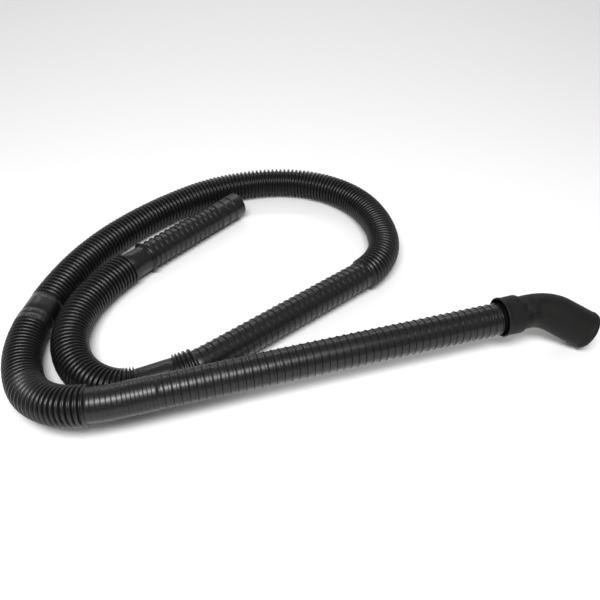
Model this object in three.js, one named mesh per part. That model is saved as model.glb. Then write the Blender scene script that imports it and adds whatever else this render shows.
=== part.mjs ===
// Washing machine drain hose, one moulded tube lying in a flat spiral, with a rubber elbow on one end
// Millimetres, +Z up; the straight length lies along X with the elbow at its +X end

import * as THREE from "three";

// Tube sections, by outside diameter
const foldCrest = 34;
const foldRoot = 28.8;
const ribCrest = 29.6;
const ribRoot = 28.2;
const cuffWidth = 29;
const beadWidth = 32.4;
const spigotWidth = 27.6;
const boreWidth = 25;
const sides = 8;

// Lengths along the tube
const foldPitch = 4.787;
const squeezedPitch = 3;
const ribPitch = 6.56;
const wideRibPitch = 6.9;
const ribStep = 0.4;
const plainStep = 14;
const spigotLength = 15.7;
const plainLength = 50.2;
const collarBead = 6.7;
const cuffLength = 23.4;
const joinLength = 35;
const endCuffLength = 26;
const flangeLength = 5;
const bandLength = 11.5;
const mouthBand = 10.2;

// How the tube lies: the straight length is held up by the elbow and by the strand it leans on
const raisedHeight = 35;
const restHeight = foldCrest / 2;
const endHeight = ribCrest / 2;
const descent = { from: 378.6, to: 472.6 };
const lastSlope = { from: 1669, to: 1823 };

// Each leg of the lying route is a length in mm and the degrees it turns to the right
const route = [
  [352.6, 0],
  [27, 10.9],
  [30, 34.1],
  [35, 23],
  [40, 21],
  [50, 21.7],
  [70, 10.6],
  [100, 21],
  [100, 15.9],
  [95, 30.7],
  [75, 35.7],
  [75, 38.6],
  [60, 22.7],
  [45, 30.6],
  [32, 20],
  [183, 0],
  [30, 14.9],
  [35, 0],
  [30, 44.4],
  [35, 30.9],
  [45, 30.5],
  [60, 30.9],
  [65, 17.5],
  [155, 0],
];

// The wall from the elbow to the open end
const wall = [
  { kind: "plain", width: spigotWidth, length: spigotLength },
  { kind: "ribs", count: 47, pitch: ribPitch },
  { kind: "plain", width: cuffWidth, length: plainLength },
  { kind: "folds", count: 8, first: 3.5, last: 4 },
  { kind: "folds", count: 9, first: 4.2, last: 6.9 },
  { kind: "folds", count: 4, first: 5.9, last: 4.6 },
  { kind: "folds", count: 13, first: 4.05, last: 4.7 },
  { kind: "bead", length: collarBead },
  { kind: "bead", length: collarBead },
  { kind: "plain", width: cuffWidth, length: cuffLength },
  { kind: "folds", count: 129, first: foldPitch, last: foldPitch },
  { kind: "ribs", count: 30, pitch: wideRibPitch },
  { kind: "folds", count: 5, first: squeezedPitch, last: squeezedPitch },
  { kind: "plain", width: cuffWidth, length: joinLength },
  { kind: "folds", count: 47, first: 4.12, last: 5.37 },
  { kind: "plain", width: cuffWidth, length: endCuffLength },
  { kind: "bead", length: flangeLength },
  { kind: "ribs", count: 14, pitch: wideRibPitch },
  { kind: "band", length: bandLength },
  { kind: "band", length: mouthBand },
  { kind: "band", length: mouthBand },
];

// Rubber elbow, by outside diameter
const collarMouth = 36.4;
const collarFoot = 35.4;
const neckWidth = 30.8;
const legWidth = 36;
const beadRise = 0.5;
const socketMouth = 33.2;
const socketFoot = 31.6;
const rubber = 2.2;
const elbowSides = 20;

// Rubber elbow, lengths along its axis
const socketDepth = 13.4;
const collarLength = 15.5;
const neckLength = 13.1;
const bendRadius = 52;
const bendAngle = 38;
const rollAngle = 42.4;
const lipInset = 4;

// The tube sits low in the wide collar
const socketLift = 1.3;
const fitGap = 0.3;

const black = { color: 0x1b1b1c, metalness: 0 };
const radians = THREE.MathUtils.degToRad;

// One moulded tube: the outline of its wall is spun about the axis and bent along the route
function outerOutline() {
  const outline = [];
  let at = 0;
  const ring = (s, width) => outline.push(new THREE.Vector2(width / 2, s));
  for (const part of wall) {
    if (part.kind === "plain") {
      const steps = Math.ceil(part.length / plainStep);
      for (let i = 0; i <= steps; i++) ring(at + (part.length * i) / steps, part.width);
      at += part.length;
    }
    if (part.kind === "ribs") {
      for (let i = 0; i < part.count; i++) {
        ring(at, ribRoot);
        ring(at + ribStep, ribCrest);
        at += part.pitch;
      }
    }
    if (part.kind === "band") {
      ring(at, ribRoot);
      ring(at + ribStep, ribCrest);
      ring(at + part.length - ribStep, ribCrest);
      at += part.length;
    }
    if (part.kind === "folds") {
      for (let i = 0; i < part.count; i++) {
        const pitch = THREE.MathUtils.lerp(part.first, part.last, i / part.count);
        ring(at, foldRoot);
        ring(at + pitch / 2, foldCrest);
        at += pitch;
      }
    }
    if (part.kind === "bead") {
      ring(at + part.length / 3, beadWidth);
      ring(at + (part.length * 2) / 3, beadWidth);
      at += part.length;
    }
  }
  ring(at, ribRoot);
  return { outline, length: at };
}

// Place on the lying route at distance s, with the directions across and above the tube
function routePlace(s) {
  let x = 0;
  let y = 0;
  let heading = Math.PI;
  let left = s;
  for (const [i, [length, turn]] of route.entries()) {
    const whole = left > length && i < route.length - 1;
    const run = whole ? length : left;
    const bend = (-radians(turn) * run) / length;
    const chord = bend ? (2 * Math.sin(bend / 2) * run) / bend : run;
    x += chord * Math.cos(heading + bend / 2);
    y += chord * Math.sin(heading + bend / 2);
    heading += bend;
    left -= run;
    if (!whole) break;
  }
  return { x, y, heading };
}

function routeHeight(s) {
  const down = THREE.MathUtils.smoothstep(s, descent.from, descent.to);
  const end = THREE.MathUtils.smoothstep(s, lastSlope.from, lastSlope.to);
  return raisedHeight + (restHeight - raisedHeight) * down + (endHeight - restHeight) * end;
}

function bendAlongRoute(geometry) {
  const position = geometry.attributes.position;
  for (let i = 0; i < position.count; i++) {
    const s = position.getY(i);
    const place = routePlace(s);
    const slope = routeHeight(s + 0.5) - routeHeight(s - 0.5);
    const ahead = new THREE.Vector3(Math.cos(place.heading), Math.sin(place.heading), slope).normalize();
    const across = new THREE.Vector3(Math.sin(place.heading), -Math.cos(place.heading), 0);
    const above = new THREE.Vector3().crossVectors(across, ahead);
    const point = new THREE.Vector3(place.x, place.y, routeHeight(s));
    point.addScaledVector(across, position.getX(i));
    point.addScaledVector(above, position.getZ(i));
    position.setXYZ(i, point.x, point.y, point.z);
  }
  geometry.computeVertexNormals();
  return geometry;
}

// The bore needs rings only where the route bends
function boreOutline(length) {
  const outline = [];
  let at = 0;
  for (const [run, turn] of route) {
    const steps = Math.max(1, Math.round(Math.sqrt(run * radians(turn)) / 2));
    for (let i = 0; i < steps && at < length; i++) {
      outline.push(new THREE.Vector2(boreWidth / 2, at));
      at += run / steps;
    }
  }
  outline.push(new THREE.Vector2(boreWidth / 2, length));
  return outline.reverse();
}

function makeHose() {
  const { outline, length } = outerOutline();
  const section = [...outline, ...boreOutline(length)];
  section.push(section[0].clone());
  const geometry = bendAlongRoute(new THREE.LatheGeometry(section, sides));
  const material = new THREE.MeshStandardMaterial({ ...black, roughness: 0.42 });
  const mesh = new THREE.Mesh(geometry, material);
  mesh.name = "hose";
  return mesh;
}

// Rubber elbow: its outline is spun about the axis and the axis bent down to the table
function makeElbow() {
  const dip = Math.asin(Math.sin(radians(bendAngle)) * Math.sin(radians(rollAngle)));
  const axisHeight = raisedHeight + socketLift;
  const cornerToMouth = (axisHeight - (legWidth / 2) * Math.cos(dip)) / Math.sin(dip);
  const tangent = bendRadius * Math.tan(radians(bendAngle) / 2);
  const bendStart = collarLength + neckLength;
  const arc = bendRadius * radians(bendAngle);
  const bendEnd = bendStart + arc;
  const end = bendEnd + cornerToMouth - tangent;
  const outside = [
    [0, collarMouth - 1],
    [0.7, collarMouth],
    [collarLength - 1.5, collarFoot],
    [collarLength, collarFoot - 0.6],
    [collarLength + 0.8, neckWidth],
  ];
  const inside = [
    [0.5, socketMouth],
    [socketDepth, socketFoot],
    [socketDepth + 0.3, neckWidth - 2 * rubber],
  ];
  const bendSteps = 8;
  for (let i = 0; i <= bendSteps; i++) {
    const s = bendStart + (arc * i) / bendSteps;
    const width = THREE.MathUtils.lerp(neckWidth, legWidth, THREE.MathUtils.smoothstep(i, 0, bendSteps));
    outside.push([s, width]);
    inside.push([s, width - 2 * rubber]);
  }
  outside.push([end - lipInset, legWidth], [end - lipInset + 0.6, legWidth + beadRise], [end - lipInset + 1.2, legWidth]);
  outside.push([end - 1.2, legWidth], [end - 0.4, legWidth - 0.4], [end, legWidth - 1.4]);
  inside.push([end, legWidth - 2 * rubber]);
  const section = [...outside, ...inside.reverse()].map(([s, width]) => new THREE.Vector2(width / 2, s));
  section.push(section[0].clone());

  // The bend's plane is turned about the socket's axis by the roll angle
  const geometry = new THREE.LatheGeometry(section, elbowSides);
  const position = geometry.attributes.position;
  const toward = new THREE.Vector3(0, -Math.cos(radians(rollAngle)), -Math.sin(radians(rollAngle)));
  const aside = new THREE.Vector3(1, 0, 0).cross(toward);
  for (let i = 0; i < position.count; i++) {
    const s = position.getY(i);
    const turned = THREE.MathUtils.clamp((s - bendStart) / arc, 0, 1) * radians(bendAngle);
    const rest = Math.max(0, s - bendEnd);
    const ahead = Math.min(s, bendStart) + bendRadius * Math.sin(turned) + rest * Math.cos(turned);
    const sideways = bendRadius * (1 - Math.cos(turned)) + rest * Math.sin(turned);
    const point = new THREE.Vector3(ahead, 0, 0).addScaledVector(toward, sideways);
    const inBend = new THREE.Vector3(-Math.sin(turned), 0, 0).addScaledVector(toward, Math.cos(turned));
    point.addScaledVector(inBend, position.getZ(i)).addScaledVector(aside, position.getX(i));
    position.setXYZ(i, point.x, point.y, point.z);
  }
  geometry.computeVertexNormals();
  const material = new THREE.MeshStandardMaterial({ ...black, roughness: 0.62 });
  const mesh = new THREE.Mesh(geometry, material);
  mesh.name = "elbow";
  mesh.position.set(fitGap - socketDepth, 0, axisHeight);
  return mesh;
}

// Origin at the middle of the lying hose, on the table
const lying = new THREE.Group();
lying.add(makeHose(), makeElbow());
const box = new THREE.Box3().setFromObject(lying, true);
const middle = box.getCenter(new THREE.Vector3());
lying.position.set(-middle.x, -middle.y, -box.min.z);

const drainHose = new THREE.Group();
drainHose.add(lying);

export default drainHose;
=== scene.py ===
from math import asin, ceil, cos, pi, radians, sin, sqrt, tan

import bmesh
import bpy
from mathutils import Matrix, Vector


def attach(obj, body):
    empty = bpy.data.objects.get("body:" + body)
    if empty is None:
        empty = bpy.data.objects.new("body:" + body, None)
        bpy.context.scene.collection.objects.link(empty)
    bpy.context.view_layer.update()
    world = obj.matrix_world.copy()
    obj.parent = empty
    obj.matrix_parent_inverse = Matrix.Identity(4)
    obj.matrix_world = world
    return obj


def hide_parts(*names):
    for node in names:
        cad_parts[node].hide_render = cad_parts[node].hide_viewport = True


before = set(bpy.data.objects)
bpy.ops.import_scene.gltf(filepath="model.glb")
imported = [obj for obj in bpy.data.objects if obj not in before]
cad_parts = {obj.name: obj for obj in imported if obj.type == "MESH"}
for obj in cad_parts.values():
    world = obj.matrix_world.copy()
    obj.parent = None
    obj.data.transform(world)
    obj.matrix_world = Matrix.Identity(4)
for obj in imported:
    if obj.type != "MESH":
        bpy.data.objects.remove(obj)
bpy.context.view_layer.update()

mm = 0.001
scene = bpy.context.scene
scene.view_settings.view_transform = "Standard"
print("frame loaded:", sorted(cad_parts))

# Camera
view = {
    "place": (-127, -517, 419),
    "down": 40,
    "turn": -16.74,
    "lens": 38.04,
    "nearest": 10,
}

camera = bpy.data.objects.new("camera", bpy.data.cameras.new("camera"))
camera.data.lens = view["lens"]
camera.data.clip_start = view["nearest"] * mm
camera.location = Vector(view["place"]) * mm
camera.rotation_euler = (radians(90 - view["down"]), 0, radians(view["turn"]))
scene.collection.objects.link(camera)
scene.camera = camera

# The tube's route
# Each leg is a length and the degrees that it turns to the right.
route = {
    "start": (183.899, -156.007),
    "legs": [
        (352.6, 0), (27, 10.9), (30, 34.1), (35, 23), (40, 21), (50, 21.7), (70, 10.6), (100, 21),
        (100, 15.9), (95, 30.7), (75, 35.7), (75, 38.6), (60, 22.7), (45, 30.6), (32, 20),
        (183, 0), (30, 14.9), (35, 0), (30, 44.4), (35, 30.9), (45, 30.5), (60, 30.9),
        (65, 17.5), (155, 0),
    ],
    "raised": 35,
    "rest": 17,
    "end": 15.5,
    "descent": (378.6, 472.6),
    "lastSlope": (1669, 1823),
}


def easeBetween(value, low, high):
    share = min(max((value - low) / (high - low), 0), 1)
    return share * share * (3 - 2 * share)


def routeHeight(s):
    down = easeBetween(s, *route["descent"])
    end = easeBetween(s, *route["lastSlope"])
    height = route["raised"] + (route["rest"] - route["raised"]) * down
    return height + (route["end"] - route["rest"]) * end


def routePlace(s):
    # matrix at s mm from the elbow's end, its columns across the tube, above it and along it
    x, y = route["start"]
    heading, left = pi, s
    for i, (length, turn) in enumerate(route["legs"]):
        whole = left > length and i < len(route["legs"]) - 1
        run = length if whole else left
        bend = -radians(turn) * run / length
        chord = 2 * sin(bend / 2) * run / bend if bend else run
        x += chord * cos(heading + bend / 2)
        y += chord * sin(heading + bend / 2)
        heading += bend
        left -= run
        if not whole:
            break
    # the slope is the rise over the millimetre around s
    slope = routeHeight(s + 0.5) - routeHeight(s - 0.5)
    ahead = Vector((cos(heading), sin(heading), slope)).normalized()
    across = Vector((sin(heading), -cos(heading), 0))
    above = across.cross(ahead)
    turned = Matrix((across, above, ahead)).transposed().to_4x4()
    return Matrix.Translation((x, y, routeHeight(s))) @ turned


# The tube
tube = {
    "foldCrest": 34,
    "foldRoot": 27.8,
    "ribCrest": 29.9,
    "endRibCrest": 30.7,
    "ribRoot": 28.2,
    "cuffWidth": 29,
    "wideCuffWidth": 33,
    "collarWidth": 34.2,
    "flangeWidth": 34,
    "spigotWidth": 27.6,
    "boreWidth": 25,
    "grooveDepth": 0.4,
    "ribPitch": 6.513,
    "wideRibPitch": 6.85,
    "endRibPitch": 7.315,
    "foldPitch": 4.765,
    "plainStep": 8,
    "plainInset": 0.3,
    # rings of the mouths' rounded edges: (distance from the end, change of radius)
    "rim": [(0.9, 0), (0.25, -0.2), (0, -0.7)],
    "boreStart": [(0, 0.5), (0.4, 0)],
    "boreEnd": [(1, 0), (0.2, 0.35)],
    "boreSpare": 1.5,
    "insideElbow": 13.4,
    "sides": 32,
}
# Each shape is drawn over one pitch, as (share of the pitch, share of the rise)
# A rib is a thin raised ring, an undercut groove and a flat
ribRing = [
    (0.015, 0.1), (0.04, 0.9), (0.075, 1.05), (0.11, 0.9), (0.145, 0.1),
    (0.17, -0.35), (0.2, -0.35), (0.225, 0.15), (0.25, 0.15),
]
tube["shapes"] = {
    "folds": [
        (0.14, 0), (0.23, 0.32), (0.32, 0.74), (0.43, 0.98),
        (0.57, 0.98), (0.68, 0.74), (0.77, 0.32), (0.86, 0),
    ],
    "ribs": [*ribRing, (0.985, 0.1)],
    "linedRibs": [
        *ribRing, (0.5, 0.13), (0.515, 0.13), (0.53, -0.3), (0.57, -0.3),
        (0.585, 0.12), (0.61, 0.12), (0.985, 0.1),
    ],
    "bands": [
        (0.015, 0.1), (0.03, 0.95), (0.05, 1.15), (0.08, 1.1), (0.1, 0.6), (0.13, 0.55),
        (0.93, 0.5), (0.96, 0.45), (0.975, 0), (0.99, 0),
    ],
    "grooves": [(0, 0), (0.04, 0), (0.08, -1), (0.2, -1), (0.24, 0), (0.28, 0)],
    "collar": [(0.1, 0.05), (0.15, 0.9), (0.19, 1), (0.24, 1), (0.9, 1), (0.95, 0.98), (1, 0.88)],
    "shoulder": [(0.05, 0.98), (0.1, 1), (0.62, 1), (0.68, 0.98), (0.93, 0.8), (0.97, 0.76), (1, 0.76)],
    "flange": [
        (0.15, 0), (0.22, 0.1), (0.27, 0.8), (0.34, 1), (0.48, 1),
        (0.55, 0.8), (0.6, 0.1), (0.68, -0.15), (0.8, -0.1),
    ],
}
tube["shapes"]["endRibs"] = tube["shapes"]["ribs"]
ribLevels = (tube["ribRoot"], tube["ribCrest"])
endRibLevels = (tube["ribRoot"], tube["endRibCrest"])
collarLevels = (tube["foldRoot"], tube["collarWidth"])
tube["levels"] = {
    "folds": (tube["foldRoot"], tube["foldCrest"]),
    "ribs": ribLevels,
    "linedRibs": ribLevels,
    "endRibs": endRibLevels,
    "bands": endRibLevels,
    "grooves": (tube["cuffWidth"], tube["cuffWidth"] + 2 * tube["grooveDepth"]),
    "collar": collarLevels,
    "shoulder": collarLevels,
    "flange": (tube["cuffWidth"], tube["flangeWidth"]),
}
# From the elbow to the open end: a plain length is given by its width and length, and the rest by
# their number and pitch, or by their number, first pitch and last pitch where the pitch changes
tube["wall"] = [
    ("plain", tube["spigotWidth"], 16.15),
    ("linedRibs", 3, tube["ribPitch"]),
    ("ribs", 23, tube["ribPitch"]),
    ("linedRibs", 21, tube["ribPitch"]),
    ("grooves", 8, 3.25),
    ("grooves", 7, 3.9),
    ("folds", 8, 3.6, 3.85),
    ("folds", 9, 4.2, 6.9),
    ("folds", 4, 5.3, 4.43),
    ("folds", 13, 4.05, 4.47),
    ("collar", 1, 7.3),
    ("shoulder", 1, 7.4),
    ("plain", tube["wideCuffWidth"], 23.7),
    ("folds", 129, tube["foldPitch"]),
    ("plain", tube["ribRoot"], 5.75),
    ("ribs", 28, tube["wideRibPitch"]),
    ("ribs", 1, 5.5),
    ("folds", 5, 5.2, 1.7),
    ("plain", tube["cuffWidth"], 32),
    ("folds", 11, 3.7, 4.58),
    ("folds", 14, 4.45, 4.85),
    ("folds", 15, 4.85, 4.6),
    ("folds", 9, 4.55),
    ("plain", tube["cuffWidth"], 21.5),
    ("flange", 1, 4.8),
    ("endRibs", 1, 6.25),
    ("endRibs", 13, tube["endRibPitch"]),
    ("bands", 1, 11.85),
    ("bands", 1, 11),
    ("bands", 1, 15.5),
]


def wallOutline():
    # (distance along the tube, radius) of each ring of the outer wall
    rings = []
    at = 0
    for kind, *facts in tube["wall"]:
        if kind == "plain":
            width, length = facts
            steps = ceil(length / tube["plainStep"])
            inset = tube["plainInset"]
            run = length - 2 * inset
            rings += [(at + inset + run * i / steps, width / 2) for i in range(steps + 1)]
            at += length
            continue
        count, first, last = facts[0], facts[1], facts[-1]
        low, high = (width / 2 for width in tube["levels"][kind])
        for i in range(count):
            pitch = first + (last - first) * i / count
            for share, rise in tube["shapes"][kind]:
                rings.append((at + pitch * share, low + (high - low) * rise))
            at += pitch
    return rings, at


def addPiece(bm, name):
    mesh = bpy.data.meshes.new(name)
    bm.to_mesh(mesh)
    bm.free()
    mesh.polygons.foreach_set("use_smooth", [True] * len(mesh.polygons))
    piece = bpy.data.objects.new(name, mesh)
    scene.collection.objects.link(piece)
    return piece


mergeDistance = 0.0001


def spinOutline(outline, sides):
    # the closed outline, given as (along, radius), is spun about Z
    bm = bmesh.new()
    verts = [bm.verts.new((radius, 0, along)) for along, radius in outline]
    edges = [bm.edges.new((a, b)) for a, b in zip(verts, verts[1:] + verts[:1])]
    bmesh.ops.spin(
        bm, geom=verts + edges, cent=(0, 0, 0), axis=(0, 0, 1), dvec=(0, 0, 0),
        angle=2 * pi, steps=sides, use_merge=True,
    )
    bmesh.ops.remove_doubles(bm, verts=bm.verts, dist=mergeDistance)
    return bm


def boreOutline(length):
    # from the open end back to the elbow, with more rings where the route bends
    places = []
    at = 0
    for run, turn in route["legs"]:
        steps = max(2, round(sqrt(run * radians(turn))))
        places += [at + run * i / steps for i in range(steps)]
        at += run
    radius = tube["boreWidth"] / 2
    rings = [(along, radius + flare) for along, flare in tube["boreStart"]]
    rings += [(along, radius) for along in places[1:] if along < length - tube["boreSpare"]]
    rings += [(length - back, radius + flare) for back, flare in tube["boreEnd"]]
    return rings[::-1]


def makeTube():
    rings, length = wallOutline()
    _, lastRadius = rings.pop()
    rings += [(length - back, lastRadius + rise) for back, rise in tube["rim"]]
    bm = spinOutline(rings + boreOutline(length), tube["sides"])
    straight = bm.verts.layers.float_vector.new("straight")
    # all the vertices of one ring share one place
    places = {}
    for v in bm.verts:
        v[straight] = v.co
        s = round(v.co.z, 4)
        if s not in places:
            places[s] = routePlace(s)
        v.co = places[s] @ Vector((v.co.x, v.co.y, 0)) * mm
    bmesh.ops.recalc_face_normals(bm, faces=bm.faces)
    return addPiece(bm, "drain_tube"), length


drainTube, tubeLength = makeTube()
pathSteps = 400
centreline = [
    routePlace(tubeLength * i / pathSteps).translation * mm for i in range(pathSteps + 1)
]
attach(drainTube, "root")
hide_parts("hose")
routePlace(tube["insideElbow"]).translation * mm
tubeLength * mm
print("tube: %.0f mm long, %d faces" % (tubeLength, len(drainTube.data.polygons)))

# The rubber elbow
elbow = {
    "place": (170.799, -156.007, 36.3),
    "collarMouth": 36.4,
    "collarFoot": 35.4,
    "neckWidth": 30.8,
    "legWidth": 36,
    "socketMouth": 33.2,
    "socketFoot": 31.6,
    "rubber": 2.2,
    "socketDepth": 13.4,
    "collarLength": 18.2,
    "neckLength": 10.4,
    "bendRadius": 52,
    "bendAngle": 38,
    "rollAngle": 42.4,
    "lipInset": 4,
    # rings of each edge: (distance from the edge along the axis, change of radius)
    "rim": [(0, -0.9), (0.15, -0.4), (0.5, -0.08), (1.1, 0), (1.9, -0.12), (2.6, -0.5), (3.4, -0.62)],
    "collarEdge": [(-1.8, 0), (-1, -0.08), (-0.4, -0.35), (-0.1, -0.8)],
    "neckEdge": [(0.3, 0.6), (0.9, 0.15), (1.8, 0)],
    "lip": [(-0.6, 0), (-0.2, 0.2), (0.2, 0.42), (0.7, 0.42), (1.1, 0.2), (1.5, 0)],
    "mouth": [(-1.6, 0), (-0.8, -0.15), (-0.3, -0.45), (-0.05, -0.85), (0, -1.3)],
    "mouthInside": [(-0.5, 0), (-0.1, 0.25)],
    "socketEdge": [(0.3, 0.25), (1, 0)],
    "socketStep": 0.6,
    # the number of even steps between the rings on each stretch
    "steps": {"collar": 5, "neck": 8, "socket": 4, "bend": 22, "leg": 6},
    "sides": 72,
    "dimple": (5.3, -14.5, 26),
    "dimpleWidth": 9,
    "dimpleDepth": 2,
    "bloomSpot": (14, -6.4, 29),
}


def elbowLength():
    dip = asin(sin(radians(elbow["bendAngle"])) * sin(radians(elbow["rollAngle"])))
    cornerToMouth = (elbow["place"][2] - elbow["legWidth"] / 2 * cos(dip)) / sin(dip)
    tangent = elbow["bendRadius"] * tan(radians(elbow["bendAngle"]) / 2)
    bendStart = elbow["collarLength"] + elbow["neckLength"]
    bendEnd = bendStart + elbow["bendRadius"] * radians(elbow["bendAngle"])
    return bendStart, bendEnd, bendEnd + cornerToMouth - tangent


def elbowPlace(s):
    # matrix at s mm from the rim, its columns in the bend's plane, out of it and along the axis
    bendStart, bendEnd, _ = elbowLength()
    turned = radians(elbow["bendAngle"]) * min(max((s - bendStart) / (bendEnd - bendStart), 0), 1)
    rest = max(0, s - bendEnd)
    toward = Vector((0, -cos(radians(elbow["rollAngle"])), -sin(radians(elbow["rollAngle"]))))
    aside = Vector((1, 0, 0)).cross(toward)
    along = min(s, bendStart) + elbow["bendRadius"] * sin(turned) + rest * cos(turned)
    sideways = elbow["bendRadius"] * (1 - cos(turned)) + rest * sin(turned)
    point = Vector((along, 0, 0)) + toward * sideways + Vector(elbow["place"])
    inBend = Vector((-sin(turned), 0, 0)) + toward * cos(turned)
    ahead = aside.cross(inBend) * -1
    return Matrix.Translation(point) @ Matrix((inBend, aside, ahead)).transposed().to_4x4()


def edgeRings(name, at, radius):
    return [(at + along, radius + rise) for along, rise in elbow[name]]


def ringsBetween(start, end, steps):
    # evenly spaced rings, without the two ends
    start, end = Vector(start), Vector(end)
    return [tuple(start.lerp(end, i / steps)) for i in range(1, steps)]


def makeElbow():
    bendStart, bendEnd, end = elbowLength()
    collar, foot = elbow["collarMouth"] / 2, elbow["collarFoot"] / 2
    neck, leg, wall = elbow["neckWidth"] / 2, elbow["legWidth"] / 2, elbow["rubber"]
    length, depth = elbow["collarLength"], elbow["socketDepth"]
    steps = elbow["steps"]
    outside = edgeRings("rim", 0, collar)
    collarEdge = edgeRings("collarEdge", length, foot)
    outside += ringsBetween(outside[-1], collarEdge[0], steps["collar"]) + collarEdge
    outside += edgeRings("neckEdge", length, neck)
    outside += ringsBetween(outside[-1], (bendStart, neck), steps["neck"])
    socket, socketFoot = (0, elbow["socketMouth"] / 2), (depth, elbow["socketFoot"] / 2)
    inside = edgeRings("socketEdge", *socket)
    inside += ringsBetween(socket, socketFoot, steps["socket"])
    inside += [socketFoot, (depth + elbow["socketStep"], neck - wall)]
    for i in range(steps["bend"] + 1):
        s = bendStart + (bendEnd - bendStart) * i / steps["bend"]
        radius = neck + (leg - neck) * easeBetween(i, 0, steps["bend"])
        outside.append((s, radius))
        inside.append((s, radius - wall))
    inset = end - elbow["lipInset"]
    outside += ringsBetween((bendEnd, leg), (inset, leg), steps["leg"])
    outside += edgeRings("lip", inset, leg) + edgeRings("mouth", end, leg)
    inside += ringsBetween((bendEnd, leg - wall), (end, leg - wall), steps["leg"])
    inside += edgeRings("mouthInside", end, leg - wall)
    bm = spinOutline(outside + inside[::-1], elbow["sides"])
    straight = bm.verts.layers.float_vector.new("straight")
    for v in bm.verts:
        v[straight] = v.co
        away = (v.co - Vector(elbow["dimple"])).length
        pressed = elbow["dimpleDepth"] * (1 - easeBetween(away, 0, elbow["dimpleWidth"] / 2))
        outward = Vector((v.co.x, v.co.y, 0))
        # the dimple is pressed into the outer skin alone
        if outward.length > neck - wall / 2:
            outward *= 1 - pressed / outward.length
        v.co = elbowPlace(v.co.z) @ outward * mm
    bmesh.ops.recalc_face_normals(bm, faces=bm.faces)
    return addPiece(bm, "rubber_elbow")


rubberElbow = makeElbow()
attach(rubberElbow, "root")
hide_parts("elbow")
print("elbow:", len(rubberElbow.data.polygons), "faces")


# Materials
class Wire:
    # one socket of a shader tree, so that sums on it can be written as sums
    def __init__(self, socket):
        self.socket = socket

    def maths(self, operation, *values, clamp=False):
        settings = {"operation": operation, "use_clamp": clamp}
        return addNode(self.socket.id_data, "ShaderNodeMath", settings, dict(enumerate(values)))

    def __add__(self, other):
        return self.maths("ADD", self, other)

    def __radd__(self, other):
        return self.maths("ADD", other, self)

    def __sub__(self, other):
        return self.maths("SUBTRACT", self, other)

    def __rsub__(self, other):
        return self.maths("SUBTRACT", other, self)

    def __mul__(self, other):
        return self.maths("MULTIPLY", self, other)

    def __truediv__(self, other):
        return self.maths("DIVIDE", self, other)

    def __pow__(self, other):
        return self.maths("POWER", self, other)

    def within(self):
        return self.maths("ADD", self, 0, clamp=True)

    def size(self):
        return self.maths("ABSOLUTE", self)


def addNode(tree, kind, settings, inputs, output=0):
    # makes a node, sets it up and joins or fills its sockets
    node = tree.nodes.new(kind)
    for name, value in settings.items():
        setattr(node, name, value)
    for name, value in inputs.items():
        if isinstance(value, Wire):
            tree.links.new(value.socket, node.inputs[name])
        else:
            node.inputs[name].default_value = value
    return Wire(node.outputs[output])


def newMaterial(name, piece, fixed):
    material = bpy.data.materials.new(name)
    material.use_nodes = True
    shader = material.node_tree.nodes["Principled BSDF"]
    for socket, value in fixed.items():
        shader.inputs[socket].default_value = value
    piece.data.materials.append(material)
    return material.node_tree, shader


def mixColour(tree, share, low, high):
    settings = {"data_type": "RGBA"}
    return addNode(tree, "ShaderNodeMix", settings, {0: share, 6: low, 7: high}, 2)


noiseMiddle = 0.5


def noise(tree, vector, scale, detail, rough, stretch=(1, 1, 1)):
    placed = addNode(tree, "ShaderNodeMapping", {}, {"Vector": vector, "Scale": stretch})
    inputs = {"Vector": placed, "Scale": scale, "Detail": detail, "Roughness": rough}
    return addNode(tree, "ShaderNodeTexNoise", {}, inputs)


def distanceFrom(tree, vector, point):
    settings = {"operation": "DISTANCE"}
    return addNode(tree, "ShaderNodeVectorMath", settings, {0: vector, 1: point}, 1)


def shareBetween(value, none, full):
    # 0 at the first value, 1 at the second, and even in between
    return ((value - none) / (full - none)).within()


def weighted(weights, shares):
    # the sum of the shares, each times the weight of its name
    return sum(share * weights[name] for name, share in shares.items())


def straightPlace(tree):
    # the straight attribute holds the piece's own coordinates, in mm, before it was bent
    return addNode(tree, "ShaderNodeAttribute", {"attribute_name": "straight"}, {}, 1)


def addBump(tree, facts, height):
    inputs = {"Strength": facts["bumpStrength"], "Distance": facts["bumpDistance"], "Height": height}
    return addNode(tree, "ShaderNodeBump", {}, inputs)


def finish(tree, shader, wires):
    for name, wire in wires.items():
        tree.links.new(wire.socket, shader.inputs[name])


plastic = {
    "deep": (0.0032, 0.0034, 0.0037, 1),
    "worn": (0.0068, 0.007, 0.0074, 1),
    "dust": (0.016, 0.0158, 0.0152, 1),
    "roughness": 0.33,
    "specular": 0.46,
    # radii, in mm, between which a crest and a root come in
    "crest": (15.6, 17),
    "root": (15.2, 14.3),
    "partingWidth": 0.35,
    # each noise is given by scale, detail, roughness and stretch
    "cloud": (0.035, 4, 0.6, (1, 1, 0.6)),
    "streaks": (0.5, 3, 0.6, (1, 1, 0.06)),
    "grain": (1.6, 2, 0.5),
    "scuff": (0.25, 4, 0.7, (1, 1, 0.5)),
    "scuffRange": (0.56, 0.76),
    # how much each share counts for
    "wear": {"crest": 0.6, "cloud": 0.35},
    "dusting": {"scuff": 0.35, "root": 0.1},
    "roughening": {"cloud": 0.12, "streaks": 0.12, "scuff": 0.12, "crest": -0.03},
    "relief": {"grain": 0.35, "streaks": 0.5, "parting": 2.2},
    "bumpStrength": 1,
    "bumpDistance": 0.00003,
}


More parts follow.
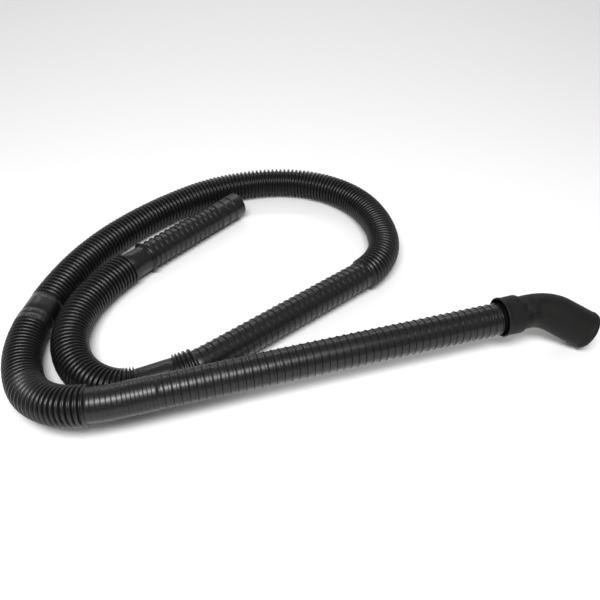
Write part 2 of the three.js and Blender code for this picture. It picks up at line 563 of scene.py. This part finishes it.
def satinPlastic(piece):
    fixed = {"Specular IOR Level": plastic["specular"]}
    tree, shader = newMaterial("satin_black_plastic", piece, fixed)
    straight = straightPlace(tree)
    x = addNode(tree, "ShaderNodeSeparateXYZ", {}, {"Vector": straight}, 0)
    y = addNode(tree, "ShaderNodeSeparateXYZ", {}, {"Vector": straight}, 1)
    radius = (x * x + y * y) ** 0.5
    crest = shareBetween(radius, *plastic["crest"])
    root = shareBetween(radius, *plastic["root"])
    cloud = noise(tree, straight, *plastic["cloud"])
    streaks = noise(tree, straight, *plastic["streaks"])
    grain = noise(tree, straight, *plastic["grain"])
    scuff = shareBetween(noise(tree, straight, *plastic["scuff"]), *plastic["scuffRange"])
    parting = (1 - y.size() / plastic["partingWidth"]).within()
    wear = weighted(plastic["wear"], {"crest": crest, "cloud": cloud})
    dusting = weighted(plastic["dusting"], {"scuff": scuff, "root": root * cloud})
    colour = mixColour(tree, wear.within(), plastic["deep"], plastic["worn"])
    colour = mixColour(tree, dusting.within(), colour, plastic["dust"])
    shares = {"cloud": cloud - noiseMiddle, "streaks": streaks - noiseMiddle}
    shares |= {"scuff": scuff, "crest": crest}
    rough = plastic["roughness"] + weighted(plastic["roughening"], shares)
    height = weighted(plastic["relief"], {"grain": grain, "streaks": streaks, "parting": parting})
    bump = addBump(tree, plastic, height)
    finish(tree, shader, {"Base Color": colour, "Roughness": rough, "Normal": bump})


rubber = {
    "dark": (0.0042, 0.004, 0.0039, 1),
    "bloom": (0.0125, 0.0116, 0.0108, 1),
    "warm": (0.036, 0.025, 0.019, 1),
    "roughness": 0.6,
    "specular": 0.2,
    "cloud": (0.09, 5, 0.62),
    "mottle": (0.7, 3, 0.6),
    "grain": (3.2, 2, 0.5),
    "smudge": (0.16, 3, 0.6),
    # the smudges lie on the neck, between these distances from the rim
    "neckIn": (12, 20),
    "neckOut": (44, 30),
    "rimWidth": 1.6,
    # within this reach of the dimple's centre its hollow is painted darker, as painted shade
    "dimpleShadeReach": 3.8,
    "bloomReach": 9,
    "warmBase": 0.5,
    "warmShare": 0.8,
    # weights of the rubber's bloom; the dimple's negative weight paints shade into its hollow
    "bloomAndShade": {"cloud": 0.7, "mottle": 0.3, "smudge": 5, "rim": 0.9, "dimpleShade": -1.5},
    "bloomLess": 0.15,
    "roughening": {"cloud": 0.16, "mottle": 0.08},
    "relief": {"grain": 0.7, "mottle": 0.5, "smudge": 6},
    "bumpStrength": 0.8,
    "bumpDistance": 0.00006,
}


def mattRubber(piece):
    fixed = {"Specular IOR Level": rubber["specular"]}
    tree, shader = newMaterial("matt_black_rubber", piece, fixed)
    straight = straightPlace(tree)
    cloud = noise(tree, straight, *rubber["cloud"])
    mottle = noise(tree, straight, *rubber["mottle"])
    grain = noise(tree, straight, *rubber["grain"])
    along = addNode(tree, "ShaderNodeSeparateXYZ", {}, {"Vector": straight}, 2)
    neckShare = shareBetween(along, *rubber["neckOut"]) * shareBetween(along, *rubber["neckIn"])
    smudge = (noise(tree, straight, *rubber["smudge"]) - noiseMiddle) * neckShare
    nearDimple = distanceFrom(tree, straight, elbow["dimple"])
    nearBloom = distanceFrom(tree, straight, elbow["bloomSpot"])
    # painted shade: the colour is darker in the dimple's hollow
    dimpleShade = (1 - nearDimple / rubber["dimpleShadeReach"]).within()
    warmth = (1 - nearBloom / rubber["bloomReach"]).within()
    warmth = (warmth * (cloud + rubber["warmBase"])).within()
    rim = (1 - along / rubber["rimWidth"]).within()
    shares = {"cloud": cloud, "mottle": mottle, "smudge": smudge, "rim": rim, "dimpleShade": dimpleShade}
    bloomAndShade = weighted(rubber["bloomAndShade"], shares) - rubber["bloomLess"]
    colour = mixColour(tree, bloomAndShade.within(), rubber["dark"], rubber["bloom"])
    colour = mixColour(tree, warmth * rubber["warmShare"], colour, rubber["warm"])
    shares = {"cloud": cloud - noiseMiddle, "mottle": mottle - noiseMiddle}
    rough = rubber["roughness"] + weighted(rubber["roughening"], shares)
    height = weighted(rubber["relief"], {"grain": grain, "mottle": mottle, "smudge": smudge})
    bump = addBump(tree, rubber, height)
    finish(tree, shader, {"Base Color": colour, "Roughness": rough, "Normal": bump})


satinPlastic(drainTube)
mattRubber(rubberElbow)
print("materials made")

# Floor, lamps and surroundings
studio = {
    "floor": 0.93,
    "floorSize": 12,
    "floorDrop": 0.0002,
    "horizon": 0.9,
    "front": 0.28,
    "sky": 0.33,
    # the glow fades out between the two rises, and from in front of the hose to behind it
    # it goes from its front level to the horizon's
    "lowRise": (0.1, 0.45),
    "backShare": (-0.3, 0.5),
    # place, size and power of each softbox; every one points at the middle of the hose
    "softboxes": [
        {"name": "key", "place": (-0.28, -0.75, 1.25), "size": (0.9, 0.42), "watts": 22},
        {"name": "back", "place": (0.35, 1.5, 1.2), "size": (2.4, 0.15), "watts": 8.5},
    ],
}

bm = bmesh.new()
bmesh.ops.create_grid(bm, x_segments=1, y_segments=1, size=studio["floorSize"] / 2)
floor = addPiece(bm, "floor")
floor.location.z = -studio["floorDrop"]
tree, shader = newMaterial("pale_floor", floor, {"Roughness": 1, "Specular IOR Level": 0})
shader.inputs["Base Color"].default_value = (studio["floor"],) * 3 + (1,)

for box in studio["softboxes"]:
    lamp = bpy.data.lights.new(box["name"], "AREA")
    lamp.shape = "RECTANGLE"
    lamp.size, lamp.size_y = box["size"]
    lamp.energy = box["watts"]
    holder = bpy.data.objects.new(box["name"], lamp)
    holder.location = box["place"]
    holder.rotation_euler = (-Vector(box["place"])).to_track_quat("-Z", "Y").to_euler()
    holder.visible_camera = False
    scene.collection.objects.link(holder)


def easedRange(tree, value, source, target):
    settings = {"interpolation_type": "SMOOTHSTEP"}
    inputs = {"Value": value, "From Min": source[0], "From Max": source[1]}
    inputs |= {"To Min": target[0], "To Max": target[1]}
    return addNode(tree, "ShaderNodeMapRange", settings, inputs)


world = bpy.data.worlds.new("studio")
world.use_nodes = True
scene.world = world
tree = world.node_tree
direction = addNode(tree, "ShaderNodeTexCoord", {}, {}, 0)
rise = addNode(tree, "ShaderNodeSeparateXYZ", {}, {"Vector": direction}, 2)
behind = addNode(tree, "ShaderNodeSeparateXYZ", {}, {"Vector": direction}, 1)
low = easedRange(tree, rise, studio["lowRise"], (1, 0))
back = easedRange(tree, behind, studio["backShare"], (0, 1))
horizon = back * (studio["horizon"] - studio["front"]) + studio["front"]
glow = studio["sky"] + low * (horizon - studio["sky"])
tree.links.new(glow.socket, tree.nodes["Background"].inputs["Strength"])
tree.nodes["Background"].inputs["Color"].default_value = (1, 1, 1, 1)
print("studio lit")
